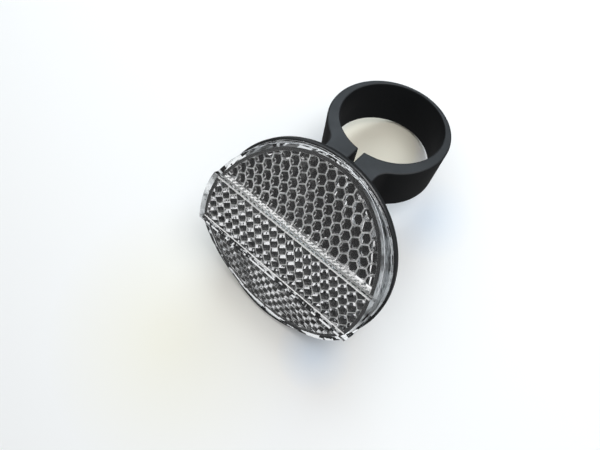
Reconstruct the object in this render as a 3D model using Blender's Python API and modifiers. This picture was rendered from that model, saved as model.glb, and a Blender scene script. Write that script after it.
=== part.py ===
"""Front reflector on a split clamp ring, for a bicycle handlebar.

Frame: the origin is the centre of the clamp's bore, +X runs along the handlebar,
-Y is the way the clamp's ears point, towards the reflector, and +Z is up.
The ring's split and both ears lie either side of the XY plane. The reflector's head
(lens, housing and tongue) hangs on the clamp screw and swivels about it.
"""
from math import acos, asin, atan2, cos, pi, radians, sin, sqrt, tan

import bmesh
import bpy
from mathutils import Matrix, Vector

MM = 0.001

# Clearances
SEAT_GAP = 0.3 * MM
SWIVEL_GAP = 0.3 * MM
RIM_GAP = 0.2 * MM

# Clamp ring: thin on the far side, where it flexes, and thick at the ears
BAR_DIAMETER = 31.8 * MM
RING_WIDTH = 15.0 * MM
RING_FLEX_WALL = 1.15 * MM
RING_EAR_WALL = 4.45 * MM
RING_BEVEL = 0.4 * MM
SPLIT_WIDTH = 1.9 * MM

# Ears of the clamp
EARS_WIDTH = 17.5 * MM
EARS_FILLET = 5.0 * MM
EARS_TOP_LENGTH = 7.1 * MM
EAR_END_RADIUS = 5.4 * MM

# Swivel axis, parallel to Z
PIVOT_FROM_BORE = 7.5 * MM
SWIVEL_REST = radians(27.5)
SWIVEL_MAX = radians(37.5)
SWIVEL_MIN = radians(-30.0)

# Tongue of the housing, between the ears
TONGUE_THICKNESS = 5.0 * MM
KNUCKLE_RADIUS = 5.0 * MM
NECK_WIDTH = 9.0 * MM
FIN_REACH = 21.0 * MM
FIN_DEPTH = 2.4 * MM

# Clamp screw and its nut
SCREW_DIAMETER = 4.0 * MM
SCREW_HEAD_DIAMETER = 7.8 * MM
SCREW_HEAD_HEIGHT = 2.5 * MM
SCREW_END_PROUD = 0.9 * MM
SCREW_RECESS_WIDTH = 1.1 * MM
SCREW_RECESS_SPAN = 4.2 * MM
SCREW_RECESS_DEPTH = 1.3 * MM
NUT_ACROSS_FLATS = 7.0 * MM
NUT_HEIGHT = 3.2 * MM
HEAD_POCKET_DEPTH = 3.15 * MM

# Housing dish. Heights are measured from the rear edge of its rim, towards the viewer
HEAD_OVERHANG = 12.8 * MM
HEAD_STANDOFF = 9.1 * MM
RIM_RADIUS = 31.2 * MM
RIM_WALL = 0.6 * MM
RIM_HEIGHT = 1.9 * MM
RIM_BEVEL = 0.25 * MM
LEDGE_HEIGHT = 0.5 * MM
LEDGE_WIDTH = 1.3 * MM
DISH_WALL = 1.4 * MM
DISH_DEPTH = 3.2 * MM
DISH_SKIRT = 3.3 * MM
GROOVE_RADIUS = 12.0 * MM
GROOVE_WIDTH = 1.2 * MM
GROOVE_DEPTH = 0.5 * MM

# Lens: a flat band across the middle, and a sloping zone on each side, a step lower
FLANGE_WIDTH = 0.5 * MM
FLANGE_TOP = 1.75 * MM
BAND_HEIGHT = 11.0 * MM
BAND_WIDTH = 17.1 * MM
BAND_STEP = 1.5 * MM
ZONE_EDGE_STEP = 0.13 * MM
BAND_SIDE_WALL = 1.1 * MM
PLATE_THICKNESS = 1.5 * MM
LENS_WALL = 2.2 * MM
LENS_BEVEL = 0.3 * MM

# Cube-corner prisms on the rear of each zone
PRISM_PITCH = 3.1 * MM
PRISM_MARGIN = 2.6 * MM
PRISM_SIDE_GAP = 0.15 * MM
PRISM_FIRST_ROW = 1.6 * MM
PRISM_LAND = 0.05 * MM

# Facets
ROUND_STEPS = 128
BORE_STEPS = 96
SMALL_STEPS = 40

BORE_RADIUS = BAR_DIAMETER / 2
RING_RADIUS = BORE_RADIUS + (RING_EAR_WALL + RING_FLEX_WALL) / 2
RING_SHIFT = (RING_EAR_WALL - RING_FLEX_WALL) / 2
EARS_TOP_REACH = BORE_RADIUS + EARS_TOP_LENGTH
PIVOT_X = EAR_END_RADIUS - RING_WIDTH / 2
PIVOT_Y = -BORE_RADIUS - PIVOT_FROM_BORE
HEAD_OFFSET = RIM_RADIUS - HEAD_OVERHANG
DISH_FLOOR_RADIUS = RIM_RADIUS - DISH_SKIRT
FLANGE_RADIUS = RIM_RADIUS - RIM_WALL - RIM_GAP
LENS_RADIUS = FLANGE_RADIUS - FLANGE_WIDTH
ZONE_TOP = BAND_HEIGHT - BAND_STEP
ZONE_SLOPE = atan2(ZONE_TOP - FLANGE_TOP - ZONE_EDGE_STEP, LENS_RADIUS - BAND_WIDTH / 2)
HALF_RING = RING_WIDTH / 2
HALF_EARS = EARS_WIDTH / 2
HALF_TONGUE = TONGUE_THICKNESS / 2
POCKET_HALF = HALF_TONGUE + SWIVEL_GAP
SCREW_RADIUS = SCREW_DIAMETER / 2
HOLE_RADIUS = SCREW_RADIUS + 0.25 * MM
NUT_POCKET_DEPTH = NUT_HEIGHT + SEAT_GAP


def clear_scene():
    for old in list(bpy.data.objects):
        bpy.data.objects.remove(old, do_unlink=True)


def new_collection(name):
    collection = bpy.data.collections.new(name)
    bpy.context.scene.collection.children.link(collection)
    return collection


def material(name, color, roughness, metallic=0.0, alpha=1.0):
    mat = bpy.data.materials.new(name)
    mat.use_nodes = True
    shader = mat.node_tree.nodes["Principled BSDF"]
    shader.inputs["Base Color"].default_value = (*color, 1.0)
    shader.inputs["Roughness"].default_value = roughness
    shader.inputs["Metallic"].default_value = metallic
    shader.inputs["Alpha"].default_value = alpha
    return mat


def object_from_bmesh(name, bm, collection):
    mesh = bpy.data.meshes.new(name)
    bm.to_mesh(mesh)
    bm.free()
    made = bpy.data.objects.new(name, mesh)
    collection.objects.link(made)
    return made


def mark_cutter(cutter):
    cutter.hide_render = True
    cutter.display_type = "WIRE"
    return cutter


def boolean(target, cutter, operation):
    modifier = target.modifiers.new(operation.title() + " " + cutter.name, "BOOLEAN")
    modifier.operation = operation
    modifier.object = cutter
    modifier.solver = "EXACT"
    return modifier


def weld(target, name):
    modifier = target.modifiers.new(name, "WELD")
    modifier.merge_threshold = 1e-5
    return modifier


def shade(target, angle=30.0):
    target.data.shade_smooth()
    target.data.set_sharp_from_angle(angle=radians(angle))


def arc(center, radius, start, end, steps):
    """Points from start to end (radians) on a circle in the plane."""
    return [(center[0] + radius * cos(start + (end - start) * i / steps),
             center[1] + radius * sin(start + (end - start) * i / steps)) for i in range(steps + 1)]


def flat_outline(name, outlines, thickness, collection):
    """A filled 2D curve of one or more closed outlines, given its thickness and made a mesh."""
    curve = bpy.data.curves.new(name, "CURVE")
    curve.dimensions = "2D"
    curve.fill_mode = "BOTH"
    curve.extrude = thickness / 2
    for points in outlines:
        spline = curve.splines.new("POLY")
        spline.points.add(len(points) - 1)
        for point, (x, y) in zip(spline.points, points):
            point.co = (x, y, 0.0, 1.0)
        spline.use_cyclic_u = True
    drawn = bpy.data.objects.new(name + " outline", curve)
    collection.objects.link(drawn)
    depsgraph = bpy.context.evaluated_depsgraph_get()
    mesh = bpy.data.meshes.new_from_object(drawn.evaluated_get(depsgraph))
    mesh.name = name
    bm = bmesh.new()
    bm.from_mesh(mesh)
    bmesh.ops.remove_doubles(bm, verts=bm.verts, dist=1e-6)
    bmesh.ops.dissolve_limit(bm, angle_limit=radians(0.5), verts=bm.verts, edges=bm.edges)
    bmesh.ops.recalc_face_normals(bm, faces=bm.faces)
    bm.to_mesh(mesh)
    bm.free()
    made = bpy.data.objects.new(name, mesh)
    made.matrix_world = drawn.matrix_world
    collection.objects.link(made)
    bpy.data.objects.remove(drawn, do_unlink=True)
    return made


def cylinder(name, radius, length, collection, steps=SMALL_STEPS, turn=0.0):
    """A cylinder along Z, centred on the origin."""
    bm = bmesh.new()
    bmesh.ops.create_cone(bm, cap_ends=True, segments=steps, radius1=radius, radius2=radius, depth=length,
                          matrix=Matrix.Rotation(turn, 4, "Z"))
    return object_from_bmesh(name, bm, collection)


def box(name, low, high, collection):
    size = [b - a for a, b in zip(low, high)]
    middle = [(a + b) / 2 for a, b in zip(low, high)]
    bm = bmesh.new()
    bmesh.ops.create_cube(bm, size=1.0, matrix=Matrix.Translation(middle) @ Matrix.Diagonal((*size, 1.0)))
    return object_from_bmesh(name, bm, collection)


def turned(name, profile, collection, steps=ROUND_STEPS):
    """A profile of (radius, height) points, turned about Z with a Screw modifier."""
    mesh = bpy.data.meshes.new(name)
    points = [(r, 0.0, h) for r, h in profile]
    mesh.from_pydata(points, [(i, i + 1) for i in range(len(points) - 1)], [])
    made = bpy.data.objects.new(name, mesh)
    collection.objects.link(made)
    screw = made.modifiers.new("Turn", "SCREW")
    screw.steps = steps
    screw.render_steps = steps
    screw.use_merge_vertices = True
    screw.merge_threshold = 1e-6
    screw.use_smooth_shade = True
    return made


# Side views in the XY plane, through the swivel axis
def swivel_point(along, across, angle):
    """A point by its distance along the head's direction and across it, at a swivel angle."""
    ahead = Vector((sin(angle), -cos(angle)))
    side = Vector((cos(angle), sin(angle)))
    point = Vector((PIVOT_X, PIVOT_Y)) + ahead * along + side * across
    return point.x, point.y


def ear_side_profile():
    """What the ears keep of the clamp, seen along Z: full height at the ring, round at the screw."""
    past = HALF_RING + 2 * MM
    corner = Vector((HALF_RING - PIVOT_X, -EARS_TOP_REACH - PIVOT_Y))
    tangent = atan2(corner.y, corner.x) - acos(EAR_END_RADIUS / corner.length)
    round_end = arc((PIVOT_X, PIVOT_Y), EAR_END_RADIUS, -pi, tangent, 16)
    slant = (corner - EAR_END_RADIUS * Vector((cos(tangent), sin(tangent)))).normalized()
    slant_end = Vector((HALF_RING, -EARS_TOP_REACH)) + slant * 2 * MM
    back = BORE_RADIUS + RING_RADIUS
    return [(past, back), (-past, back), (-past, PIVOT_Y)] + round_end + [(slant_end.x, slant_end.y),
                                                                          (past, slant_end.y)]


def pocket_profile():
    """The tongue's room between the ears: a round floor and two walls that stop its swing."""
    radius = KNUCKLE_RADIUS + SWIVEL_GAP
    across = NECK_WIDTH / 2 + SWIVEL_GAP
    reach = 3 * EAR_END_RADIUS
    near = sqrt(radius ** 2 - across ** 2)
    low = Vector(swivel_point(near, -across, SWIVEL_MIN)) - Vector((PIVOT_X, PIVOT_Y))
    high = Vector(swivel_point(near, across, SWIVEL_MAX)) - Vector((PIVOT_X, PIVOT_Y))
    floor = arc((PIVOT_X, PIVOT_Y), radius, atan2(high.y, high.x), atan2(low.y, low.x), 24)
    return ([swivel_point(reach, across, SWIVEL_MAX)] + floor
            + [swivel_point(reach, -across, SWIVEL_MIN)])


# Clamp
def clamp_outline():
    """The split ring and its ears, seen along the bar: (y, z) points."""
    fillet_z = HALF_EARS + EARS_FILLET
    reach = RING_RADIUS + EARS_FILLET
    fillet_y = -RING_SHIFT - sqrt(reach ** 2 - fillet_z ** 2)
    touch = atan2(fillet_z, fillet_y + RING_SHIFT)
    end = PIVOT_Y - EAR_END_RADIUS - 1 * MM
    around = arc((-RING_SHIFT, 0.0), RING_RADIUS, touch, -touch, BORE_STEPS)
    gap = asin(SPLIT_WIDTH / 2 / BORE_RADIUS)
    bore = arc((0.0, 0.0), BORE_RADIUS, gap - pi, pi - gap, BORE_STEPS)
    lower = arc((fillet_y, -fillet_z), EARS_FILLET, pi - touch, pi / 2, 10)
    upper = [(y, -z) for y, z in reversed(lower)]
    return (around + lower + [(end, -HALF_EARS), (end, -SPLIT_WIDTH / 2)] + bore
            + [(end, SPLIT_WIDTH / 2), (end, HALF_EARS)] + upper)


def make_clamp(parts, cutters, finish):
    clamp = flat_outline("clamp_bracket", [clamp_outline()], RING_WIDTH, parts)
    clamp.data.transform(Matrix(((0, 0, 1, 0), (1, 0, 0, 0), (0, 1, 0, 0), (0, 0, 0, 1))))

    side = flat_outline("ear side profile", [ear_side_profile()], EARS_WIDTH + RING_RADIUS * 2, cutters)
    boolean(clamp, mark_cutter(side), "INTERSECT")
    weld(clamp, "Weld before bevel")
    bevel = clamp.modifiers.new("Edges", "BEVEL")
    bevel.width = RING_BEVEL
    bevel.segments = 2
    bevel.limit_method = "ANGLE"
    bevel.angle_limit = radians(40)
    bevel.use_clamp_overlap = False

    weld(clamp, "Weld after bevel")
    pocket = flat_outline("tongue pocket", [pocket_profile()], 2 * POCKET_HALF, cutters)
    boolean(clamp, mark_cutter(pocket), "DIFFERENCE")

    head_pocket_radius = SCREW_HEAD_DIAMETER / 2 + SEAT_GAP
    seat = -HALF_EARS + HEAD_POCKET_DEPTH
    hole = turned("clamp screw hole", [(0.0, EARS_WIDTH), (HOLE_RADIUS, EARS_WIDTH), (HOLE_RADIUS, seat),
                                       (head_pocket_radius, seat), (head_pocket_radius, -EARS_WIDTH),
                                       (0.0, -EARS_WIDTH)], cutters, steps=SMALL_STEPS)
    pocket_corner = (NUT_ACROSS_FLATS / 2 + SEAT_GAP) / cos(pi / 6)
    nut_pocket = cylinder("nut pocket", pocket_corner, 2 * NUT_POCKET_DEPTH, cutters, steps=6, turn=pi / 6)
    for cutter, z in ((hole, 0.0), (nut_pocket, HALF_EARS)):
        cutter.location = (PIVOT_X, PIVOT_Y, z)
        boolean(clamp, mark_cutter(cutter), "DIFFERENCE")
    weld(clamp, "Weld")
    clamp.data.materials.append(finish)
    shade(clamp)
    return clamp


def make_screw(parts, cutters, finish):
    """Pan-head screw along Z: the head sits in the lower ear, the end stands out of the nut."""
    seat = -HALF_EARS + HEAD_POCKET_DEPTH - SEAT_GAP
    head_end = seat - SCREW_HEAD_HEIGHT
    end = HALF_EARS + SCREW_END_PROUD
    head_radius = SCREW_HEAD_DIAMETER / 2
    dome = head_radius * 0.45
    profile = [(0.0, end), (SCREW_RADIUS - 0.4 * MM, end), (SCREW_RADIUS, end - 0.4 * MM),
               (SCREW_RADIUS, seat), (head_radius, seat)]
    profile += [(head_radius - dome + dome * cos(t), head_end + dome - dome * sin(t))
                for t in (0.0, pi / 8, pi / 4, 3 * pi / 8, pi / 2)]
    profile.append((0.0, head_end))
    screw = turned("clamp_screw", profile, parts, steps=SMALL_STEPS)
    bars = ((SCREW_RECESS_SPAN, SCREW_RECESS_WIDTH), (SCREW_RECESS_WIDTH, SCREW_RECESS_SPAN))
    for i, (length, width) in enumerate(bars):
        bar = box("cross recess %d" % (i + 1), (-length / 2, -width / 2, head_end - 1 * MM),
                  (length / 2, width / 2, head_end + SCREW_RECESS_DEPTH), cutters)
        bar.location = (PIVOT_X, PIVOT_Y, 0.0)
        boolean(screw, mark_cutter(bar), "DIFFERENCE")
    screw.location = (PIVOT_X, PIVOT_Y, 0.0)
    screw.data.materials.append(finish)
    return screw


def make_nut(parts, cutters, finish):
    """Hexagon nut held from turning in the upper ear, with both faces' corners turned off."""
    low = HALF_EARS - NUT_POCKET_DEPTH + SEAT_GAP
    nut = cylinder("clamp_nut", NUT_ACROSS_FLATS / 2 / cos(pi / 6), NUT_HEIGHT, parts, steps=6, turn=pi / 6)
    nut.location = (PIVOT_X, PIVOT_Y, low + NUT_HEIGHT / 2)
    corner = NUT_ACROSS_FLATS / 2 / cos(pi / 6)
    half = NUT_HEIGHT / 2 + 0.05 * MM
    drop = 0.5 * MM
    face = NUT_ACROSS_FLATS / 2 * 0.98
    barrel = turned("nut corner turning", [(0.0, half), (face, half), (corner + 0.3 * MM, half - drop),
                                           (corner + 0.3 * MM, -half + drop), (face, -half), (0.0, -half)],
                    cutters, steps=SMALL_STEPS)
    barrel.location = nut.location
    boolean(nut, mark_cutter(barrel), "INTERSECT")
    thread = cylinder("nut thread hole", HOLE_RADIUS, 3 * NUT_HEIGHT, cutters)
    thread.location = nut.location
    boolean(nut, mark_cutter(thread), "DIFFERENCE")
    nut.data.materials.append(finish)
    return nut


# Housing, in the disc's own frame: X across the band, Y along it, Z towards the viewer
def dish_profile():
    rim_inside = RIM_RADIUS - RIM_WALL
    floor = -DISH_DEPTH + DISH_WALL
    ledge_inside = rim_inside - LEDGE_WIDTH
    cone = atan2(DISH_DEPTH, RIM_RADIUS - DISH_FLOOR_RADIUS)
    corner = ledge_inside - (LEDGE_HEIGHT - floor) / tan(cone)
    groove = [(GROOVE_RADIUS + GROOVE_WIDTH / 2, -DISH_DEPTH),
              (GROOVE_RADIUS + GROOVE_WIDTH / 4, -DISH_DEPTH + GROOVE_DEPTH),
              (GROOVE_RADIUS - GROOVE_WIDTH / 4, -DISH_DEPTH + GROOVE_DEPTH),
              (GROOVE_RADIUS - GROOVE_WIDTH / 2, -DISH_DEPTH)]
    return [(0.0, floor), (corner, floor), (ledge_inside, LEDGE_HEIGHT), (rim_inside, LEDGE_HEIGHT),
            (rim_inside, RIM_HEIGHT), (RIM_RADIUS - RIM_BEVEL, RIM_HEIGHT),
            (RIM_RADIUS, RIM_HEIGHT - RIM_BEVEL), (RIM_RADIUS, RIM_BEVEL), (RIM_RADIUS - RIM_BEVEL, 0.0),
            (DISH_FLOOR_RADIUS + RIM_BEVEL, -DISH_DEPTH * 0.94),
            (DISH_FLOOR_RADIUS - RIM_BEVEL, -DISH_DEPTH)] + groove + [(0.0, -DISH_DEPTH)]


def tongue_profile():
    """The tongue seen along the band: knuckle, neck, and a fin along the rear of the dish; (x, z) points."""
    root = -DISH_DEPTH + DISH_WALL / 2
    half = NECK_WIDTH / 2
    rise = sqrt(KNUCKLE_RADIUS ** 2 - half ** 2)
    shoulder = atan2(rise, half)
    knuckle = arc((HEAD_OFFSET, -HEAD_STANDOFF), KNUCKLE_RADIUS, shoulder - 2 * pi, -pi - shoulder, 28)
    fin_top = HEAD_OFFSET - half
    fin = [(fin_top, -DISH_DEPTH - FIN_DEPTH), (fin_top - 2 * MM, -DISH_DEPTH - FIN_DEPTH * 0.72),
           (fin_top - FIN_REACH * 0.4, -DISH_DEPTH - FIN_DEPTH * 0.34), (fin_top - FIN_REACH, -DISH_DEPTH),
           (fin_top - FIN_REACH, root)]
    return [(HEAD_OFFSET + half, root)] + knuckle + fin


def make_housing(parts, cutters, finish):
    housing = turned("reflector_housing", dish_profile(), parts)
    tongue = flat_outline("tongue", [tongue_profile()], TONGUE_THICKNESS, cutters)
    tongue.data.transform(Matrix.Rotation(pi / 2, 4, "X"))
    boolean(housing, mark_cutter(tongue), "UNION")
    hole = cylinder("tongue hole", HOLE_RADIUS, 2 * TONGUE_THICKNESS, cutters)
    pivot = Matrix.Translation((HEAD_OFFSET, 0.0, -HEAD_STANDOFF))
    hole.data.transform(pivot @ Matrix.Rotation(pi / 2, 4, "X"))
    boolean(housing, mark_cutter(hole), "DIFFERENCE")
    housing.data.materials.append(finish)
    return housing, [tongue, hole]


# Lens, in the same frame
def zone_height(across):
    """Height of a side zone's outer face at a distance from the middle."""
    return ZONE_TOP - (across - BAND_WIDTH / 2) * tan(ZONE_SLOPE)


def roof_profile(offset, side_offset):
    """Flat band, a step and a sloping zone on each side, moved in by a thickness; (x, z) points."""
    drop = offset / cos(ZONE_SLOPE)
    edge = BAND_WIDTH / 2 - side_offset
    wide = RIM_RADIUS * 1.3
    right = [(wide, zone_height(wide) - drop), (edge, zone_height(edge) - drop), (edge, BAND_HEIGHT - offset)]
    left = [(-x, z) for x, z in reversed(right)]
    base = -2 * DISH_DEPTH - wide * tan(ZONE_SLOPE)
    return [(wide, base)] + right + left + [(-wide, base)]


def roof_block(name, offset, side_offset, collection):
    outline = list(reversed(roof_profile(offset, side_offset)))
    block = flat_outline(name, [outline], 3 * RIM_RADIUS, collection)
    block.data.transform(Matrix.Rotation(pi / 2, 4, "X"))
    return block


def prism_sheet(name, width, length, collection):
    """A slab whose underside is a field of cube corners, tips down: z = 0 is the prisms' root plane.

    Each cell is a hexagon of three square faces. Its corners lie by turns at the root
    plane and half way down, so that neighbouring cells share them.
    """
    edge = PRISM_PITCH / sqrt(2)
    depth = 2 * edge / sqrt(3)
    corner = PRISM_PITCH / sqrt(3)
    row_step = PRISM_PITCH * sqrt(3) / 2
    rows = int(width / 2 / row_step) + 2
    columns = int(length / 2 / PRISM_PITCH) + 2
    bm = bmesh.new()
    for row in range(-rows, rows + 1):
        for column in range(-columns, columns + 1):
            x = row * row_step
            y = (column + 0.5 * (row % 2)) * PRISM_PITCH
            tip = bm.verts.new((x, y, -depth))
            ring = [bm.verts.new((x + corner * cos(i * pi / 3), y + corner * sin(i * pi / 3),
                                  -depth / 2 if i % 2 == 0 else 0.0)) for i in range(6)]
            for i in (0, 2, 4):
                bm.faces.new((tip, ring[(i + 2) % 6], ring[i + 1], ring[i]))
    bmesh.ops.remove_doubles(bm, verts=bm.verts, dist=1e-6)
    grown = bmesh.ops.extrude_face_region(bm, geom=list(bm.faces))
    for vert in (item for item in grown["geom"] if isinstance(item, bmesh.types.BMVert)):
        vert.co.z = PLATE_THICKNESS / 2
    bmesh.ops.recalc_face_normals(bm, faces=bm.faces)
    return object_from_bmesh(name, bm, collection)


def zone_outline(near, far):
    """The part of the prism field's disc between two lines across it; (x, y) points."""
    radius = LENS_RADIUS - PRISM_MARGIN
    far = min(far, radius)
    wide = acos(near / radius)
    if far < radius:
        tight = acos(far / radius)
        return arc((0, 0), radius, tight, wide, 24) + arc((0, 0), radius, -wide, -tight, 24)
    return arc((0, 0), radius, -wide, wide, 40)


def make_prisms(side, cutters):
    """The prism block of one zone: side is 1 or -1 for the sloping zones and 0 for the band."""
    radius = LENS_RADIUS - PRISM_MARGIN
    name = {1: "right zone", 0: "band", -1: "left zone"}[side]
    depth = PLATE_THICKNESS + PRISM_LAND
    if side == 0:
        half = BAND_WIDTH / 2 - BAND_SIDE_WALL - PRISM_SIDE_GAP
        sheet = prism_sheet(name + " prisms", 2 * half, 2 * radius, cutters)
        sheet.data.transform(Matrix.Translation((0.0, 0.0, BAND_HEIGHT - depth)))
        outline = zone_outline(-half, half)
    else:
        near = BAND_WIDTH / 2 + PRISM_SIDE_GAP
        row_step = PRISM_PITCH * sqrt(3) / 2
        half_rows = round((radius - near) / cos(ZONE_SLOPE) / 2 / row_step)
        middle = BAND_WIDTH / 2 + (PRISM_FIRST_ROW + half_rows * row_step) * cos(ZONE_SLOPE)
        sheet = prism_sheet(name + " prisms", (radius - near) / cos(ZONE_SLOPE), 2 * radius, cutters)
        slope = Matrix.Rotation(side * ZONE_SLOPE, 4, "Y")
        drop = depth / cos(ZONE_SLOPE)
        place = Matrix.Translation((side * middle, 0.0, zone_height(middle) - drop))
        sheet.data.transform(place @ slope)
        outline = zone_outline(near, radius)
        if side < 0:
            outline = [(-x, y) for x, y in reversed(outline)]
    post = flat_outline(name + " outline", [outline], 4 * BAND_HEIGHT, cutters)
    boolean(sheet, mark_cutter(post), "INTERSECT")
    return mark_cutter(sheet), post


def make_lens(parts, cutters, finish):
    base = LEDGE_HEIGHT + SEAT_GAP
    drum = [(0.0, 2 * BAND_HEIGHT), (LENS_RADIUS, 2 * BAND_HEIGHT), (LENS_RADIUS, FLANGE_TOP),
            (FLANGE_RADIUS, FLANGE_TOP), (FLANGE_RADIUS, base), (0.0, base)]
    lens = turned("reflector_lens", drum, parts)
    outer = roof_block("lens outside", 0.0, 0.0, cutters)
    boolean(lens, mark_cutter(outer), "INTERSECT")
    bevel = lens.modifiers.new("Edges", "BEVEL")
    bevel.width = LENS_BEVEL
    bevel.segments = 1
    bevel.limit_method = "ANGLE"
    bevel.angle_limit = radians(40)
    bevel.use_clamp_overlap = False
    inner = roof_block("lens inside", PLATE_THICKNESS, BAND_SIDE_WALL, cutters)
    hollow = cylinder("lens hollow", LENS_RADIUS - LENS_WALL, 4 * BAND_HEIGHT, cutters, steps=ROUND_STEPS,
                      turn=pi / ROUND_STEPS)
    boolean(hollow, mark_cutter(inner), "INTERSECT")
    boolean(lens, mark_cutter(hollow), "DIFFERENCE")
    helpers = [outer, inner, hollow]
    for side in (1, 0, -1):
        sheet, post = make_prisms(side, cutters)
        boolean(lens, sheet, "UNION")
        helpers += [sheet, post]
    weld(lens, "Weld")
    lens.data.materials.append(finish)
    return lens, helpers


def main():
    clear_scene()
    parts = new_collection("front reflector")
    cutters = new_collection("cutters")
    black = material("black moulded plastic", (0.018, 0.020, 0.022), 0.5)
    clear = material("clear acrylic", (0.82, 0.86, 0.88), 0.05, alpha=0.35)
    steel = material("zinc plated steel", (0.62, 0.63, 0.64), 0.3, 1.0)

    make_clamp(parts, cutters, black)
    make_screw(parts, cutters, steel)
    make_nut(parts, cutters, steel)
    housing, housing_helpers = make_housing(parts, cutters, black)
    lens, lens_helpers = make_lens(parts, cutters, clear)

    # The head hangs on an empty at the swivel axis, turned to where it stands at rest
    swivel = bpy.data.objects.new("head swivel", None)
    swivel.location = (PIVOT_X, PIVOT_Y, 0.0)
    swivel.rotation_euler = (0.0, 0.0, SWIVEL_REST)
    parts.objects.link(swivel)
    for item in [housing, lens] + housing_helpers + lens_helpers:
        item.parent = swivel
        item.location = (-HEAD_OFFSET, -HEAD_STANDOFF, 0.0)
        item.rotation_euler = (pi / 2, 0.0, 0.0)
    bpy.context.view_layer.update()


main()
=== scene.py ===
from math import atan, cos, pi, radians, sqrt

import bmesh
import bpy
from mathutils import Matrix, Vector


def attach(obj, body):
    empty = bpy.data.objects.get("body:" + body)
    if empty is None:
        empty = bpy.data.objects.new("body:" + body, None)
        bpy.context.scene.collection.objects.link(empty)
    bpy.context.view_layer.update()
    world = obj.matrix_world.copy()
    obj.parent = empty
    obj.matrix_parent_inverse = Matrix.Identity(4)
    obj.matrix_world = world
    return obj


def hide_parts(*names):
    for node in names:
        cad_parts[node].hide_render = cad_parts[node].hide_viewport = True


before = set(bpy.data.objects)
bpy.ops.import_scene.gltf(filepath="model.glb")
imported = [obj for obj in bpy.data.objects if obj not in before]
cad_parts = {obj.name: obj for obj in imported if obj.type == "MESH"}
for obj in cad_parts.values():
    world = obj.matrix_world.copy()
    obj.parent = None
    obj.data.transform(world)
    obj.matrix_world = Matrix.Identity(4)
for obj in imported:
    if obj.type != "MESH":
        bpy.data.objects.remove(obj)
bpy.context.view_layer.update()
mm = 0.001


# A shader socket that does sums: an expression on wires adds its Math nodes
class Wire:
    def __init__(self, graph, socket):
        self.graph, self.socket = graph, socket

    def __add__(self, other):
        return self.graph.math("ADD", self, other)

    def __sub__(self, other):
        return self.graph.math("SUBTRACT", self, other)

    def __rsub__(self, other):
        return self.graph.math("SUBTRACT", other, self)

    def __mul__(self, other):
        return self.graph.math("MULTIPLY", self, other)


# A node just added: its outputs by name or number
class Made:
    def __init__(self, graph, node):
        self.graph, self.node = graph, node

    def __getitem__(self, key):
        return Wire(self.graph, self.node.outputs[key])


# The nodes of a material or of the world
class Graph:
    def __init__(self, tree):
        self.tree = tree

    # Links a wire to the socket, or sets the socket to a plain value
    def join(self, value, socket):
        if isinstance(value, Wire):
            self.tree.links.new(value.socket, socket)
        else:
            socket.default_value = value

    def add(self, kind, settings=None, inputs=None):
        node = self.tree.nodes.new(kind)
        for key, value in (settings or {}).items():
            setattr(node, key, value)
        for key, value in (inputs or {}).items():
            self.join(value, node.inputs[key])
        return Made(self, node)

    def math(self, operation, first, second=0.0):
        return self.add("ShaderNodeMath", {"operation": operation}, {0: first, 1: second})[0]

    def noise(self, scale, detail=3.0, roughness=0.5):
        place = self.add("ShaderNodeTexCoord")["Object"]
        return self.add("ShaderNodeTexNoise", {}, {"Vector": place, "Scale": scale, "Detail": detail,
                                                   "Roughness": roughness})["Fac"]

    def between(self, value, low, high, toLow=0.0, toHigh=1.0):
        return self.add("ShaderNodeMapRange", {"clamp": True},
                        {0: value, 1: low, 2: high, 3: toLow, 4: toHigh})[0]

    def blend(self, factor, first, second):
        return self.add("ShaderNodeMix", {"data_type": "RGBA"}, {0: factor, 6: first, 7: second})[2]

    def bump(self, height, strength, distance):
        return self.add("ShaderNodeBump", {},
                        {"Height": height, "Strength": strength, "Distance": distance})[0]


def newMaterial(name):
    material = bpy.data.materials.new(name)
    material.use_nodes = True
    graph = Graph(material.node_tree)
    return material, graph, material.node_tree.nodes["Principled BSDF"]


# Camera, from a fit to the outlines of the ring and the disc
cameraSetup = {
    "position": (95.53 * mm, -91.06 * mm, -30.93 * mm),
    "right": (0.0954, 0.6514, -0.7527),
    "up": (0.5022, 0.6214, 0.6014),
    "focalPixels": 415.3,
    "imageWidth": 600,
    "sensorWidth": 36.0,
    "clipStart": 5 * mm,
}


def makeCamera():
    right = Vector(cameraSetup["right"]).normalized()
    up = Vector(cameraSetup["up"])
    up = (up - right * up.dot(right)).normalized()
    back = right.cross(up)
    data = bpy.data.cameras.new("camera")
    data.sensor_width = cameraSetup["sensorWidth"]
    data.lens = cameraSetup["focalPixels"] / cameraSetup["imageWidth"] * data.sensor_width
    data.clip_start = cameraSetup["clipStart"]
    camera = bpy.data.objects.new("camera", data)
    bpy.context.scene.collection.objects.link(camera)
    turn = Matrix((right, up, back)).transposed().to_4x4()
    camera.matrix_world = Matrix.Translation(cameraSetup["position"]) @ turn
    bpy.context.scene.camera = camera
    return camera


camera = makeCamera()
print("camera made")


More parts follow.
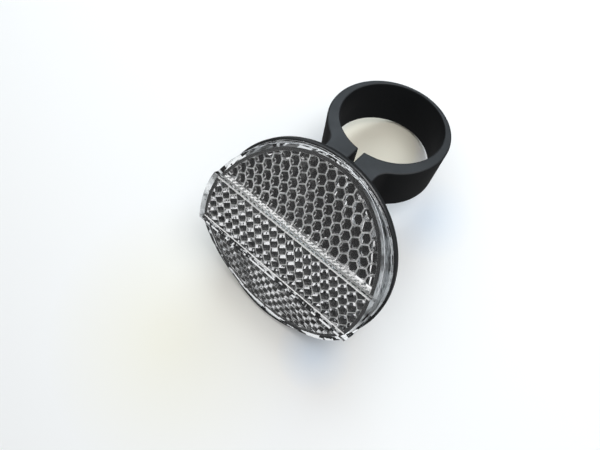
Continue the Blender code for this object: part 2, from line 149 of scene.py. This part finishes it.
# A white paper that the object lies on, seen from its front only, with painted shade in cream in the ring's
# bore and below the disc and painted bluish light beside them; away from the object it fades into the white
# background
paper = {
    "normal": (0.901, -0.434, 0.0),
    "distance": -14.2 * mm,
    "size": 0.9,
    "fade": (0.2, 0.35),
    "roughness": 0.9,
    "specular": 0.1,
    "color": (0.93, 0.93, 0.92, 1.0),
    # Painted shade, the two cream spots, and painted bluish light, the two blue spots
    "tints": [
        {"center": (-14 * mm, 6 * mm, 4 * mm), "inner": 13 * mm, "outer": 17 * mm,
         "color": (0.90, 0.86, 0.73, 1.0)},
        {"center": (-55 * mm, -82 * mm, 20 * mm), "inner": 5 * mm, "outer": 50 * mm,
         "color": (0.90, 0.88, 0.78, 1.0)},
        {"center": (-42 * mm, -55 * mm, -23 * mm), "inner": 2 * mm, "outer": 13 * mm,
         "color": (0.80, 0.87, 0.95, 1.0)},
        {"center": (-17 * mm, -3 * mm, -24 * mm), "inner": 2 * mm, "outer": 15 * mm,
         "color": (0.82, 0.88, 0.95, 1.0)},
    ],
}


def makePaper():
    normal = Vector(paper["normal"]).normalized()
    bpy.ops.mesh.primitive_plane_add(size=paper["size"], location=normal * paper["distance"],
                                     rotation=normal.to_track_quat("Z", "Y").to_euler())
    sheet = bpy.context.object
    sheet.name = "paper"
    material, graph, shader = newMaterial("white paper")
    place = graph.add("ShaderNodeNewGeometry")["Position"]
    color = paper["color"]
    # Each spot paints shade or bluish light into the paper's colour
    for tint in paper["tints"]:
        away = graph.add("ShaderNodeVectorMath", {"operation": "DISTANCE"},
                         {0: place, 1: tint["center"]})["Value"]
        color = graph.blend(graph.between(away, tint["inner"], tint["outer"], 1.0, 0.0), color, tint["color"])
    graph.join(color, shader.inputs["Base Color"])
    shader.inputs["Roughness"].default_value = paper["roughness"]
    shader.inputs["Specular IOR Level"].default_value = paper["specular"]
    behind = graph.add("ShaderNodeNewGeometry")["Backfacing"]
    away = graph.add("ShaderNodeVectorMath", {"operation": "LENGTH"}, {0: place})["Value"]
    faded = graph.math("MAXIMUM", behind, graph.between(away, *paper["fade"]))
    clear = graph.add("ShaderNodeBsdfTransparent")[0]
    output = material.node_tree.nodes["Material Output"]
    mixed = graph.add("ShaderNodeMixShader", {}, {0: faded, 1: Wire(graph, shader.outputs[0]), 2: clear})[0]
    graph.join(mixed, output.inputs["Surface"])
    sheet.data.materials.append(material)
    sheet.visible_diffuse = False
    sheet.visible_glossy = False
    sheet.visible_transmission = False
    sheet.visible_shadow = False


# The camera's dark front, seen only by rays that come out of the lens
card = {
    "radius": 80 * mm,
    "steps": 48,
    "color": (0.01, 0.01, 0.012, 1.0),
}


def makeCard():
    bpy.ops.mesh.primitive_circle_add(vertices=card["steps"], radius=card["radius"], fill_type="NGON")
    front = bpy.context.object
    front.name = "dark card"
    front.matrix_world = camera.matrix_world.copy()
    material, graph, shader = newMaterial("dark card")
    shader.inputs["Base Color"].default_value = card["color"]
    shader.inputs["Specular IOR Level"].default_value = 0.0
    front.data.materials.append(material)
    front.visible_camera = False
    front.visible_diffuse = False
    front.visible_glossy = False
    front.visible_shadow = False


# Soft lamps, placed by the camera's right, up and back, and not seen through the lens
lamps = [
    {"name": "key", "toward": (0.35, 0.35, 1.0), "distance": 0.6, "size": 0.35, "power": 1.6,
     "color": (1.0, 1.0, 1.0)},
    {"name": "window", "toward": (0.16, 0.86, 0.48), "distance": 0.6, "size": 0.4, "power": 2.2,
     "color": (0.78, 0.9, 1.0)},
    {"name": "fill", "toward": (-0.4, 0.8, 0.55), "distance": 0.7, "size": 0.5, "power": 0.5,
     "color": (1.0, 1.0, 1.0)},
]


def makeLamps():
    right, up, back = camera.matrix_world.to_3x3().col
    for lamp in lamps:
        x, y, z = lamp["toward"]
        toward = (right * x + up * y + back * z).normalized()
        data = bpy.data.lights.new(lamp["name"], "AREA")
        data.shape = "DISK"
        data.size = lamp["size"]
        data.energy = lamp["power"]
        data.color = lamp["color"]
        made = bpy.data.objects.new(lamp["name"], data)
        bpy.context.scene.collection.objects.link(made)
        made.location = toward * lamp["distance"]
        made.rotation_euler = toward.to_track_quat("Z", "Y").to_euler()
        made.visible_camera = False
        made.visible_transmission = False


# The world is white to the camera and through the lens; in gloss and as light it is dimmer, and
# brighter on the side that the paper faces
sky = {
    "inGloss": {"height": (-0.2, 0.9), "strength": (0.15, 0.75)},
    "asLight": {"height": (-0.6, 0.6), "strength": (0.15, 0.5)},
}


def makeSky():
    world = bpy.data.worlds.new("sky")
    bpy.context.scene.world = world
    world.use_nodes = True
    graph = Graph(world.node_tree)
    rays = graph.add("ShaderNodeLightPath")
    toward = graph.add("ShaderNodeTexCoord")["Generated"]
    above = graph.add("ShaderNodeVectorMath", {"operation": "DOT_PRODUCT"},
                      {0: toward, 1: Vector(paper["normal"]).normalized()})["Value"]
    gloss = graph.between(above, *sky["inGloss"]["height"], *sky["inGloss"]["strength"])
    light = graph.between(above, *sky["asLight"]["height"], *sky["asLight"]["strength"])
    plain = rays["Is Camera Ray"] + rays["Is Transmission Ray"]
    shiny = rays["Is Glossy Ray"] * (1.0 - plain)
    strength = plain + shiny * gloss + (1.0 - plain - shiny) * light
    background = world.node_tree.nodes["Background"]
    background.inputs["Color"].default_value = (1.0, 1.0, 1.0, 1.0)
    graph.join(strength, background.inputs["Strength"])


bpy.context.scene.view_settings.view_transform = "Standard"
bpy.context.scene.cycles.max_bounces = 24
bpy.context.scene.cycles.glossy_bounces = 10
bpy.context.scene.cycles.transmission_bounces = 20
makePaper()
makeCard()
makeLamps()
makeSky()
print("studio made")


# Head: the lens is modelled on the disc's own axes, X across the band, Y along it and Z towards
# the viewer, with height 0 at the rear edge of the housing's rim, and then put in its place
head = {
    "center": (-14.219 * mm, -39.968 * mm, 0.0),
    "turn": radians(27.5),
}


# Lens: a cap with a flat band and two sloping zones; reach is farther out than any of it
lens = {
    "radius": 29.9 * mm,
    "flangeRadius": 30.4 * mm,
    "flangeTop": 1.75 * mm,
    "flangeOverlap": 0.01 * mm,
    "bottom": 0.8 * mm,
    "bandTop": 11.0 * mm,
    "bandHalf": 8.55 * mm,
    "bandSide": 1.1 * mm,
    "zoneTop": 9.5 * mm,
    "zoneSlope": 0.3569,
    "plate": 1.5 * mm,
    "wallRadius": 28.5 * mm,
    "hollowLow": -5 * mm,
    "steps": 192,
    "edge": 0.4 * mm,
    "edgeSteps": 3,
    "edgeAngle": radians(35),
    "smoothAngle": radians(32),
    "reach": 40 * mm,
}


# Cube corners behind the band, side 0, and the two zones, side 1 and -1
zoneNear = 8.7 * mm
prisms = {
    "pitch": 3.1 * mm,
    "drop": 0.05 * mm,
    "radius": 27.5 * mm,
    "firstRow": 1.6 * mm,
    "bandRows": 3,
    "landSteps": 1,
    "joinWithin": 0.001 * mm,
    "postSteps": 96,
    "postReach": 20 * mm,
    "slabReach": 30 * mm,
    "fields": [
        {"side": 1, "low": zoneNear, "high": lens["reach"], "flip": 1, "land": 0.28 * mm},
        {"side": 0, "low": -7.05 * mm, "high": 7.05 * mm, "flip": 1, "land": 0.2 * mm},
        {"side": -1, "low": -lens["reach"], "high": -zoneNear, "flip": -1, "land": 0.16 * mm},
    ],
}
prismRow = prisms["pitch"] * sqrt(3) / 2


# Black plastic, with a fine grain and broad, faint patches
plasticLook = {
    "dark": (0.006, 0.007, 0.008, 1.0),
    "paler": (0.0096, 0.0112, 0.0128, 1.0),
    "patchScale": 140.0,
    "patchRange": (0.3, 0.7),
    "smoother": 0.05,
    "rougher": 0.08,
    "grainScale": 2500.0,
    "grainDetail": 4.0,
    "grainRoughness": 0.6,
    "grainStrength": 0.35,
    "grainHeight": 0.06 * mm,
}


def blackPlastic(name, roughness, specular):
    material, graph, shader = newMaterial(name)
    grain = graph.noise(plasticLook["grainScale"], plasticLook["grainDetail"], plasticLook["grainRoughness"])
    patches = graph.noise(plasticLook["patchScale"])
    rough = graph.between(patches, *plasticLook["patchRange"], roughness - plasticLook["smoother"],
                          roughness + plasticLook["rougher"])
    bumps = graph.bump(grain, plasticLook["grainStrength"], plasticLook["grainHeight"])
    shader.inputs["Specular IOR Level"].default_value = specular
    graph.join(graph.blend(patches, plasticLook["dark"], plasticLook["paler"]), shader.inputs["Base Color"])
    graph.join(rough, shader.inputs["Roughness"])
    graph.join(bumps, shader.inputs["Normal"])
    return material


acrylicLook = {
    "color": (0.985, 0.992, 1.0, 1.0),
    "refraction": 1.49,
}


def clearAcrylic(name):
    material, graph, shader = newMaterial(name)
    shader.inputs["Base Color"].default_value = acrylicLook["color"]
    shader.inputs["Transmission Weight"].default_value = 1.0
    shader.inputs["IOR"].default_value = acrylicLook["refraction"]
    shader.inputs["Roughness"].default_value = 0.0
    return material


# Zinc-plated steel, in patches of two greys
steelLook = {
    "patchScale": 300.0,
    "patchDetail": 4.0,
    "patchRange": (0.3, 0.7),
    "darker": (0.5, 0.51, 0.52, 1.0),
    "paler": (0.66, 0.66, 0.64, 1.0),
    "roughness": (0.22, 0.4),
}


def platedSteel(name):
    material, graph, shader = newMaterial(name)
    patches = graph.noise(steelLook["patchScale"], steelLook["patchDetail"])
    roughness = graph.between(patches, *steelLook["patchRange"], *steelLook["roughness"])
    shader.inputs["Metallic"].default_value = 1.0
    graph.join(graph.blend(patches, steelLook["darker"], steelLook["paler"]), shader.inputs["Base Color"])
    graph.join(roughness, shader.inputs["Roughness"])
    return material


# Places on the disc's own axes: across the band, along it and towards the viewer
def discWires(graph):
    place = graph.add("ShaderNodeTexCoord")["Object"]
    turned = graph.add("ShaderNodeMapping", {"vector_type": "TEXTURE"},
                       {"Vector": place, "Location": head["center"],
                        "Rotation": (0.0, 0.0, head["turn"])})["Vector"]
    parts = graph.add("ShaderNodeSeparateXYZ", {}, {0: turned})
    return parts["X"], parts["Z"], 0.0 - parts["Y"]


def discAngle(graph, across, along):
    return graph.math("ARCTAN2", along, across)


def discRadius(graph, across, along):
    return graph.math("SQRT", across * across + along * along)


# Fine painted stripes that run slantwise over the disc, part of the painted reflections on the lands and the
# underside
stripeSlant = 1.5


def slantedStripes(graph, across, along, density):
    return graph.math("SINE", (along + across * stripeSlant) * density)


# The lands between and beside the cube corners: a painted reflection, a bright mirror finish with darker
# painted stripes standing in for the light that the clear acrylic throws back there
landLook = {
    "bright": (0.98, 0.98, 0.97, 1.0),
    "rib": (0.7, 0.71, 0.7, 1.0),
    "ribDensity": 5200.0,
    "ribRange": (0.7, 0.95),
    "roughness": 0.35,
}


def landWithPaintedReflection(name):
    material, graph, shader = newMaterial(name)
    across, along, _ = discWires(graph)
    # Painted stripes across the painted reflection
    stripes = graph.between(slantedStripes(graph, across, along, landLook["ribDensity"]), *landLook["ribRange"])
    graph.join(graph.blend(stripes, landLook["bright"], landLook["rib"]), shader.inputs["Base Color"])
    shader.inputs["Metallic"].default_value = 1.0
    shader.inputs["Roughness"].default_value = landLook["roughness"]
    return material


# The roof's plain underside: dark outside the cube corners; inside them a mirror finish with painted
# reflection, bright flecks on the positive side of the disc and large bright patches on the other
underLook = {
    "edgeBlur": 0.05 * mm,
    "sideBlur": 0.5 * mm,
    "fleckScale": 1500.0,
    "fleckDetail": 2.0,
    "fleckRange": (0.42, 0.5),
    "fleck": (0.98, 0.98, 0.97, 1.0),
    "betweenFlecks": (0.25, 0.26, 0.26, 1.0),
    "ribDensity": 4200.0,
    "ribShare": 0.12,
    "patchScale": 700.0,
    "patchDetail": 1.0,
    "patchRange": (0.48, 0.52),
    "patch": (0.95, 0.96, 0.97, 1.0),
    "betweenPatches": (0.01, 0.011, 0.012, 1.0),
    "roughness": 0.22,
}


def underWithPaintedReflection(name):
    material, graph, shader = newMaterial(name)
    across, along, _ = discWires(graph)
    outside = graph.between(discRadius(graph, across, along), prisms["radius"] - underLook["edgeBlur"],
                            prisms["radius"] + underLook["edgeBlur"])
    stripes = slantedStripes(graph, across, along, underLook["ribDensity"])
    # Painted reflection: bright flecks with stripes on one side, bright patches on the other
    grain = graph.noise(underLook["fleckScale"], underLook["fleckDetail"])
    flecks = graph.between(grain + stripes * underLook["ribShare"], *underLook["fleckRange"])
    flecked = graph.blend(flecks, underLook["betweenFlecks"], underLook["fleck"])
    patches = graph.between(graph.noise(underLook["patchScale"], underLook["patchDetail"]),
                            *underLook["patchRange"])
    patched = graph.blend(patches, underLook["betweenPatches"], underLook["patch"])
    side = graph.between(across, -underLook["sideBlur"], underLook["sideBlur"])
    inside = graph.blend(side, patched, flecked)
    graph.join(graph.blend(outside, inside, plasticLook["dark"]), shader.inputs["Base Color"])
    graph.join(1.0 - outside, shader.inputs["Metallic"])
    shader.inputs["Roughness"].default_value = underLook["roughness"]
    return material


# Painted reflection: bright, broken by dark blocks along the rim
blockLook = {
    "perRadian": 11.0,
    "perMetre": 900.0,
    "darkRange": (0.7, 0.72),
    "bright": (0.95, 0.97, 0.98, 1.0),
    "dark": (0.004, 0.005, 0.006, 1.0),
    "seatRoughness": 0.06,
}


def paintedLightBlocks(graph, angle, place):
    spread = graph.add("ShaderNodeCombineXYZ", {}, {0: angle * blockLook["perRadian"],
                                                    1: place * blockLook["perMetre"]})[0]
    blocks = graph.add("ShaderNodeTexVoronoi", {"feature": "F1", "distance": "CHEBYCHEV"},
                       {"Vector": spread, "Scale": 1.0})["Color"]
    chance = graph.add("ShaderNodeSeparateColor", {}, {0: blocks})[0]
    # Bright and dark painted blocks
    return graph.blend(graph.between(chance, *blockLook["darkRange"]), blockLook["bright"], blockLook["dark"])


# The wall's seat on the housing, seen through the wall: a mirror finish with painted bright and dark blocks
# standing in for the light that the clear wall bends
def seatWithPaintedReflection(name):
    material, graph, shader = newMaterial(name)
    across, along, _ = discWires(graph)
    blocks = paintedLightBlocks(graph, discAngle(graph, across, along), discRadius(graph, across, along))
    shader.inputs["Metallic"].default_value = 1.0
    graph.join(blocks, shader.inputs["Base Color"])
    shader.inputs["Roughness"].default_value = blockLook["seatRoughness"]
    return material


# The wall's inside, a mirror finish with painted light and shade: a pale mottle at the band's lower end,
# bright and dark painted blocks elsewhere, and dark painted streaks over both
wallLook = {
    "mottleScale": 900.0,
    "mottleRange": (0.3, 0.7),
    "grey": (0.5, 0.52, 0.54, 1.0),
    "pale": (0.95, 0.97, 0.98, 1.0),
    "blocksFrom": (-12 * mm, -8 * mm),
    "blockSquash": 0.5,
    "streaksPerRadian": 6.0,
    "streaksPerMetre": 900.0,
    "streakDetail": 3.0,
    "streakRange": (0.36, 0.42),
    "streak": (0.03, 0.035, 0.04, 1.0),
    "roughness": 0.3,
}


def wallWithPaintedLight(name):
    material, graph, shader = newMaterial(name)
    across, along, up = discWires(graph)
    angle = discAngle(graph, across, along)
    mottle = graph.between(graph.noise(wallLook["mottleScale"]), *wallLook["mottleRange"])
    mottled = graph.blend(mottle, wallLook["grey"], wallLook["pale"])
    blocks = paintedLightBlocks(graph, angle, up * wallLook["blockSquash"])
    plain = graph.blend(graph.between(along, *wallLook["blocksFrom"]), mottled, blocks)
    spread = graph.add("ShaderNodeCombineXYZ", {}, {0: angle * wallLook["streaksPerRadian"],
                                                    1: up * wallLook["streaksPerMetre"]})[0]
    streaks = graph.add("ShaderNodeTexNoise", {}, {"Vector": spread, "Scale": 1.0,
                                                   "Detail": wallLook["streakDetail"]})["Fac"]
    # Dark painted streaks of shade
    dark = graph.between(streaks, *wallLook["streakRange"], 1.0, 0.0)
    shader.inputs["Metallic"].default_value = 1.0
    graph.join(graph.blend(dark, plain, wallLook["streak"]), shader.inputs["Base Color"])
    shader.inputs["Roughness"].default_value = wallLook["roughness"]
    return material


# The foot's top and the zones' rounded edge: a painted highlight, nearly white, with a few dark gaps
footLook = {
    "gapsPerRadian": 5.0,
    "gapDetail": 2.0,
    "gapRange": (0.36, 0.4),
    "gap": (0.08, 0.085, 0.09, 1.0),
    "frosted": (0.88, 0.9, 0.92, 1.0),
    "roughness": 0.35,
}


def footWithPaintedHighlight(name):
    material, graph, shader = newMaterial(name)
    across, along, _ = discWires(graph)
    gaps = graph.add("ShaderNodeTexNoise", {"noise_dimensions": "1D"},
                     {"W": discAngle(graph, across, along) * footLook["gapsPerRadian"], "Scale": 1.0,
                      "Detail": footLook["gapDetail"]})["Fac"]
    # Painted highlight, broken by dark gaps
    frosted = graph.blend(graph.between(gaps, *footLook["gapRange"]), footLook["gap"], footLook["frosted"])
    graph.join(frosted, shader.inputs["Base Color"])
    shader.inputs["Roughness"].default_value = footLook["roughness"]
    return material


def finishNode(name, material):
    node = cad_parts[name]
    node.data.materials.clear()
    node.data.materials.append(material)


steel = platedSteel("plated steel")
finishNode("clamp_bracket", blackPlastic("black moulded plastic", roughness=0.48, specular=0.3))
finishNode("reflector_housing", blackPlastic("black moulded dish", roughness=0.28, specular=0.5))
finishNode("clamp_screw", steel)
finishNode("clamp_nut", steel)

# The lens's finishes, in the order of its material slots
lensFinishes = {
    "acrylic": clearAcrylic("clear acrylic"),
    "prism": clearAcrylic("clear prisms"),
    "land": landWithPaintedReflection("land with painted reflection"),
    "seat": seatWithPaintedReflection("seat with painted reflection"),
    "wall": wallWithPaintedLight("wall with painted light"),
    "under": underWithPaintedReflection("underside with painted reflection"),
    "foot": footWithPaintedHighlight("foot with painted highlight"),
}
slotOf = {name: slot for slot, name in enumerate(lensFinishes)}
print("finishes made")


def discPlace():
    turn = Matrix.Rotation(head["turn"], 4, "Z") @ Matrix.Rotation(pi / 2, 4, "X")
    return Matrix.Translation(head["center"]) @ turn


def deselectAll():
    if bpy.context.object and bpy.context.object.mode != "OBJECT":
        bpy.ops.object.mode_set(mode="OBJECT")
    bpy.ops.object.select_all(action="DESELECT")


def pick(piece):
    deselectAll()
    piece.select_set(True)
    bpy.context.view_layer.objects.active = piece


# Selects the verts or edges of a piece in edit mode that pass the test
def selectWhere(piece, kind, test):
    bpy.ops.mesh.select_mode(type=kind)
    bpy.ops.mesh.select_all(action="DESELECT")
    mesh = bmesh.from_edit_mesh(piece.data)
    for item in {"VERT": mesh.verts, "EDGE": mesh.edges}[kind]:
        if test(item):
            item.select_set(True)
    mesh.select_flush_mode()
    bmesh.update_edit_mesh(piece.data)


def applyAll(piece):
    pick(piece)
    for modifier in list(piece.modifiers):
        bpy.ops.object.modifier_apply(modifier=modifier.name)


# Joins, cuts or trims a piece with another, which is used up
def combine(piece, other, operation):
    modifier = piece.modifiers.new("combine", "BOOLEAN")
    modifier.object = other
    modifier.operation = operation
    modifier.solver = "EXACT"
    applyAll(piece)
    bpy.data.objects.remove(other, do_unlink=True)


def addDrum(name, radius, low, high, steps):
    deselectAll()
    bpy.ops.mesh.primitive_cylinder_add(vertices=steps, radius=radius, depth=high - low,
                                        location=(0.0, 0.0, (low + high) / 2))
    drum = bpy.context.object
    drum.name = name
    bpy.ops.object.transform_apply(location=True, rotation=True, scale=True)
    return drum


def addBlock(name, low, high):
    deselectAll()
    middle = [(a + b) / 2 for a, b in zip(low, high)]
    bpy.ops.mesh.primitive_cube_add(size=1.0, location=middle, scale=[b - a for a, b in zip(low, high)])
    block = bpy.context.object
    block.name = name
    bpy.ops.object.transform_apply(location=True, rotation=True, scale=True)
    return block


# How high a zone's top is, so far out from the disc's middle line
def zoneHeight(out):
    return lens["zoneTop"] - (out - lens["bandHalf"]) * lens["zoneSlope"]


# A drum under the lens's roof: flat band, a step down, and a zone sloping away on each side
def roofedDrum(name, radius, bottom, inset, sideInset):
    drum = addDrum(name, radius, bottom, lens["bandTop"] - inset, lens["steps"])
    drop = inset * sqrt(1 + lens["zoneSlope"] ** 2)
    near = lens["bandHalf"] - sideInset
    far = lens["reach"]
    for side in (1, -1):
        low, high = sorted((side * near, side * far))
        block = addBlock("roof cut", (low, -far, 0.0), (high, far, far))
        bpy.ops.object.mode_set(mode="EDIT")
        for edge in (near, far):
            selectWhere(block, "VERT", lambda v: abs(v.co.x - side * edge) < mm and v.co.z < mm)
            bpy.ops.transform.translate(value=(0.0, 0.0, zoneHeight(edge) - drop))
        bpy.ops.object.mode_set(mode="OBJECT")
        combine(drum, block, "DIFFERENCE")
    return drum


# A sheet of cube corners, tips down, its hexagons' highest corners at height 0, with a land
# along each ridge and a flat back halfway up the plate
def cornerCells(name, halfWidth, halfLength, flip, landWidth):
    pitch = prisms["pitch"]
    depth = pitch * sqrt(2 / 3)
    slack = depth * 0.1
    ridgeLow = -depth * 0.75
    lift = 4 * depth
    spareCells = 2
    deselectAll()
    bpy.ops.mesh.primitive_circle_add(vertices=6, radius=pitch / sqrt(3), fill_type="TRIFAN",
                                      rotation=(0.0, 0.0, pi / 6))
    cell = bpy.context.object
    cell.name = name
    bpy.ops.object.transform_apply(location=True, rotation=True, scale=True)
    for face in cell.data.polygons:
        face.material_index = slotOf["prism"]
    # The middle goes down to be the tip, and every other corner half as far
    bpy.ops.object.mode_set(mode="EDIT")
    selectWhere(cell, "VERT", lambda v: v.co.length < slack)
    bpy.ops.transform.translate(value=(0.0, 0.0, -depth))
    selectWhere(cell, "VERT", lambda v: v.co.z > -slack
                and flip * cos(3 * v.co.xy.angle_signed(Vector((1, 0)))) > 0)
    bpy.ops.transform.translate(value=(0.0, 0.0, -depth / 2))
    # A second cell beside it, then the pair repeated both ways and centred
    bpy.ops.mesh.select_all(action="SELECT")
    bpy.ops.mesh.duplicate_move(TRANSFORM_OT_translate={"value": (prismRow, pitch / 2, 0.0)})
    bpy.ops.object.mode_set(mode="OBJECT")
    rows = int(halfWidth / (2 * prismRow)) + spareCells
    columns = int(halfLength / pitch) + spareCells
    for step, count in (((2 * prismRow, 0.0, 0.0), 2 * rows + 1), ((0.0, pitch, 0.0), 2 * columns + 1)):
        repeat = cell.modifiers.new("repeat", "ARRAY")
        repeat.use_relative_offset = False
        repeat.use_constant_offset = True
        repeat.constant_offset_displace = step
        repeat.count = count
    applyAll(cell)
    bpy.ops.object.mode_set(mode="EDIT")
    bpy.ops.mesh.select_all(action="SELECT")
    bpy.ops.transform.translate(value=(-2 * prismRow * rows, -pitch * columns, 0.0))
    bpy.ops.mesh.remove_doubles(threshold=prisms["joinWithin"])
    # Lands along the ridges between cells
    selectWhere(cell, "EDGE", lambda e: len(e.link_faces) == 2
                and all(v.co.z > ridgeLow for v in e.verts))
    bpy.ops.mesh.bevel(offset=landWidth, offset_type="OFFSET", segments=prisms["landSteps"], affect="EDGES")
    mesh = bmesh.from_edit_mesh(cell.data)
    for face in mesh.faces:
        if face.select:
            face.material_index = slotOf["land"]
    bmesh.update_edit_mesh(cell.data)
    # Walls up from the outline, brought to one height and closed
    selectWhere(cell, "EDGE", lambda e: len(e.link_faces) == 1)
    bpy.ops.mesh.extrude_region_move(TRANSFORM_OT_translate={"value": (0.0, 0.0, lift)})
    bpy.ops.transform.resize(value=(1.0, 1.0, 0.0), center_override=(0.0, 0.0, lens["plate"] / 2))
    bpy.ops.mesh.edge_face_add()
    bpy.ops.mesh.select_all(action="SELECT")
    bpy.ops.mesh.normals_make_consistent(inside=False)
    bpy.ops.object.mode_set(mode="OBJECT")
    return cell


# The cube corners under one part of the roof, trimmed to its field
def prismField(field):
    drop = lens["plate"] + prisms["drop"]
    radius = prisms["radius"]
    side = field["side"]
    if side == 0:
        halfWidth = prisms["bandRows"] * prismRow
        sheet = cornerCells("band prisms", halfWidth, radius, field["flip"], field["land"])
        place = Matrix.Translation((prismRow / 2, 0.0, lens["bandTop"] - drop))
    else:
        slope = atan(lens["zoneSlope"])
        halfRows = round((radius - zoneNear) / cos(slope) / 2 / prismRow)
        middle = lens["bandHalf"] + (prisms["firstRow"] + halfRows * prismRow) * cos(slope)
        height = zoneHeight(middle) - drop / cos(slope)
        halfWidth = (halfRows + 1) * prismRow
        sheet = cornerCells("zone prisms", halfWidth, radius, field["flip"], field["land"])
        place = Matrix.Translation((side * middle, 0.0, height)) @ Matrix.Rotation(side * slope, 4, "Y")
    sheet.data.transform(place)
    post = addDrum("field post", radius, -prisms["postReach"], prisms["postReach"], prisms["postSteps"])
    slab = addBlock("field slab", (field["low"], -lens["reach"], -prisms["slabReach"]),
                    (field["high"], lens["reach"], prisms["slabReach"]))
    combine(post, slab, "INTERSECT")
    combine(sheet, post, "INTERSECT")
    return sheet


# A flat land beside the band's prisms, along the inside of the step
landBar = {
    "near": 7.0 * mm,
    "far": 7.6 * mm,
    "halfLength": 27.4 * mm,
    "drop": 0.15 * mm,
    "overlap": 0.1 * mm,
}


def addLand(side):
    under = lens["bandTop"] - lens["plate"]
    low, high = sorted((side * landBar["near"], side * landBar["far"]))
    length = landBar["halfLength"]
    bar = addBlock("land", (low, -length, under - landBar["drop"]),
                   (high, length, under + landBar["overlap"]))
    for face in bar.data.polygons:
        face.material_index = slotOf["land"]
    return bar


# How near its place a face has to be, and how its normal has to point, to take a finish
facePlaces = {
    "slack": 0.05 * mm,
    "wideSlack": 0.1 * mm,
    "edgeShare": 1.2,
    "straight": 0.9,
    "level": 0.1,
    "downward": -0.5,
    "rounded": (0.15, 0.93),
}


# The finish of a lens face that is neither prism nor land
def finishByPlace(face):
    center, normal = face.center, face.normal
    out = center.xy.length
    slack, wideSlack = facePlaces["slack"], facePlaces["wideSlack"]
    straight = facePlaces["straight"]
    if normal.z < -straight and center.z < lens["bottom"] + slack:
        return "seat"
    if normal.z > straight and abs(center.z - lens["flangeTop"]) < slack and out > lens["wallRadius"]:
        return "foot"
    onEdge = out > lens["radius"] - lens["edge"] * facePlaces["edgeShare"]
    besideBand = abs(center.x) > lens["bandHalf"]
    leastUp, mostUp = facePlaces["rounded"]
    if onEdge and besideBand and leastUp < normal.z < mostUp:
        return "foot"
    insideStep = lens["bandHalf"] - lens["bandSide"]
    if abs(center.x - insideStep) < slack and abs(normal.x) > straight:
        return "land"
    if abs(out - lens["wallRadius"]) < wideSlack and abs(normal.z) < facePlaces["level"]:
        return "wall"
    if normal.z < facePlaces["downward"] and center.z > lens["bottom"] + wideSlack:
        return "under"
    return "acrylic"


def makeLens():
    shell = roofedDrum("lens", lens["radius"], lens["bottom"], 0.0, 0.0)
    flange = addDrum("flange", lens["flangeRadius"], lens["bottom"] - lens["flangeOverlap"],
                     lens["flangeTop"], lens["steps"])
    combine(shell, flange, "UNION")
    edge = shell.modifiers.new("edge", "BEVEL")
    edge.width = lens["edge"]
    edge.segments = lens["edgeSteps"]
    edge.limit_method = "ANGLE"
    edge.angle_limit = lens["edgeAngle"]
    applyAll(shell)
    hollow = roofedDrum("hollow", lens["wallRadius"], lens["hollowLow"], lens["plate"], lens["bandSide"])
    combine(shell, hollow, "DIFFERENCE")
    for material in lensFinishes.values():
        shell.data.materials.append(material)
    for field in prisms["fields"]:
        combine(shell, prismField(field), "UNION")
    for side in (1, -1):
        combine(shell, addLand(side), "UNION")
    for face in shell.data.polygons:
        if face.material_index == slotOf["acrylic"]:
            face.material_index = slotOf[finishByPlace(face)]
    print("lens:", len(shell.data.polygons), "faces")
    pick(shell)
    bpy.ops.object.shade_smooth_by_angle(angle=lens["smoothAngle"])
    for face in shell.data.polygons:
        if face.material_index in (slotOf["prism"], slotOf["land"]):
            face.use_smooth = False
    shell.data.transform(discPlace())
    return shell


lensPiece = makeLens()
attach(lensPiece, "head")
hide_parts("reflector_lens")
print("lens made")
